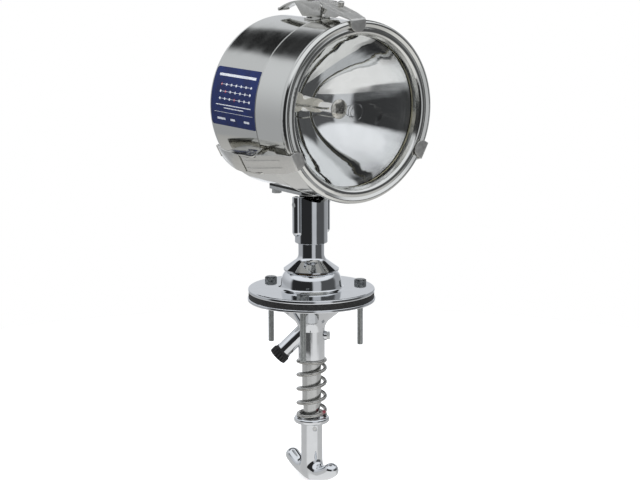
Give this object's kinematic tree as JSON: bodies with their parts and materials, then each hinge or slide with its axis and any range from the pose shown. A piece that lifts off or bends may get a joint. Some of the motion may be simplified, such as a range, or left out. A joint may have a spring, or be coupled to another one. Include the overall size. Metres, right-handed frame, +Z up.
{
  "type": "searchlight",
  "caption": "Polished through-deck searchlight: a drum lamp on a flanged post, panned and tilted by a sprung pull handle below the deck.",
  "frame": {"origin": "centre of the lower flange's underside, on the pan axis, where the flange meets what the three studs are bolted to", "axes": "+Z up along the pan axis towards the lamp, +X along the beam, +Y across it along the tilt pin"},
  "size_m": [0.1387, 0.1823, 0.4615],
  "materials": {
    "polished_stainless": "polished sheet",
    "chrome_plate": "polished chrome plate",
    "satin_stainless": "satin sheet",
    "turned_steel": "turned",
    "zinc_fastener": "zinc plated",
    "spring_steel": "drawn wire",
    "bearing_bronze": "turned",
    "terminal_brass": "turned",
    "gasket_rubber": "matte",
    "lens_rubber": "matte",
    "black_nylon": "moulded",
    "washer_nylon": "moulded",
    "lamp_glass": "clear pressed",
    "reflector_silvering": "aluminised glass",
    "lamp_metal": "nickel wire and sheet",
    "seat_aluminium": "spun",
    "label_enamel": "printed aluminium foil"
  },
  "bodies": {
    "mount": {"lower_flange": "chrome_plate", "deck_flange": "chrome_plate", "deck_gasket": "gasket_rubber", "mounting_bolts": "zinc_fastener", "gland_nut": "black_nylon", "gland_grommet": "gasket_rubber", "upper_bush": "bearing_bronze", "lower_bush": "bearing_bronze", "friction_screw": "turned_steel", "friction_pad": "black_nylon"},
    "turret": {"bell_cover": "chrome_plate", "socket": "chrome_plate", "socket_screws": "turned_steel", "spindle_tube": "turned_steel", "spindle_clip": "turned_steel", "thrust_washer": "washer_nylon", "tilt_pin": "turned_steel", "return_spring": "spring_steel"},
    "control": {"handle": "chrome_plate", "handle_pin": "turned_steel", "push_rod": "turned_steel", "rod_fork": "turned_steel", "fork_pin": "turned_steel"},
    "head": {"tilt_plate": "turned_steel", "saddle_pad": "gasket_rubber", "plate_bolts": "zinc_fastener", "plate_nuts": "zinc_fastener", "plate_screws": "zinc_fastener", "lead_grommet": "gasket_rubber", "housing": "polished_stainless", "bezel": "polished_stainless", "lens_gasket": "lens_rubber", "lamp_seat": "seat_aluminium", "lamp_reflector": "reflector_silvering", "lamp_lens": "lamp_glass", "lamp_posts": "lamp_metal", "lamp_filament": "lamp_metal", "lamp_shield": "lamp_metal", "lamp_terminals": "terminal_brass", "lamp_connector": "black_nylon", "data_plate": "label_enamel", "top_latch_bracket": "satin_stainless", "right_latch_bracket": "satin_stainless", "left_latch_bracket": "satin_stainless", "latch_hinge_pins": "satin_stainless", "bracket_rivets": "satin_stainless"},
    "top_lever": {"top_latch_lever": "satin_stainless", "top_claw_pin": "satin_stainless"},
    "top_claw": {"top_latch_claw": "satin_stainless", "top_latch_screw": "satin_stainless"},
    "right_lever": {"right_latch_lever": "satin_stainless", "right_claw_pin": "satin_stainless"},
    "right_claw": {"right_latch_claw": "satin_stainless"},
    "left_lever": {"left_latch_lever": "satin_stainless", "left_claw_pin": "satin_stainless"},
    "left_claw": {"left_latch_claw": "satin_stainless"}
  },
  "joints": [
    {"name": "pan", "type": "hinge", "parent": "mount", "child": "turret", "pos_m": [0, 0, 0], "axis": [0, 0, 1], "range_deg": [-175, 175]},
    {"name": "tilt", "type": "hinge", "parent": "turret", "child": "head", "pos_m": [0, 0, 0.093], "axis": [0, 1, 0], "range_deg": [-25, 25]},
    {"name": "handle_slide", "type": "slide", "parent": "turret", "child": "control", "axis": [0, 0, 1], "range_m": [-0.0037, 0.0037], "deforming": ["return_spring"]},
    {"name": "top_lever_hinge", "type": "hinge", "parent": "head", "child": "top_lever", "pos_m": [0.031, -0.004, 0.27761], "axis": [0, 0.999, 0.0436], "range_deg": [0, 100]},
    {"name": "top_claw_hinge", "type": "hinge", "parent": "top_lever", "child": "top_claw", "pos_m": [0.025, -0.00398, 0.27711], "axis": [0, 0.999, 0.0436], "range_deg": [-110.1, 0]},
    {"name": "right_lever_hinge", "type": "hinge", "parent": "head", "child": "right_lever", "pos_m": [0.031, 0.0802, 0.14154], "axis": [0, -0.4848, -0.8746], "range_deg": [0, 100]},
    {"name": "right_claw_hinge", "type": "hinge", "parent": "right_lever", "child": "right_claw", "pos_m": [0.025, 0.07977, 0.14178], "axis": [0, -0.4848, -0.8746], "range_deg": [-110.1, 0]},
    {"name": "left_lever_hinge", "type": "hinge", "parent": "head", "child": "left_lever", "pos_m": [0.031, -0.08097, 0.14295], "axis": [0, -0.4695, 0.8829], "range_deg": [0, 100]},
    {"name": "left_claw_hinge", "type": "hinge", "parent": "left_lever", "child": "left_claw", "pos_m": [0.025, -0.08052, 0.14318], "axis": [0, -0.4695, 0.8829], "range_deg": [-110.1, 0]}
  ],
  "couplings": [
    {"joint": "handle_slide", "follows": "tilt", "m_per_rad": 0.00836},
    {"joint": "top_claw_hinge", "follows": "top_lever_hinge", "ratio": -1.1},
    {"joint": "right_claw_hinge", "follows": "right_lever_hinge", "ratio": -1.1},
    {"joint": "left_claw_hinge", "follows": "left_lever_hinge", "ratio": -1.1}
  ]
}
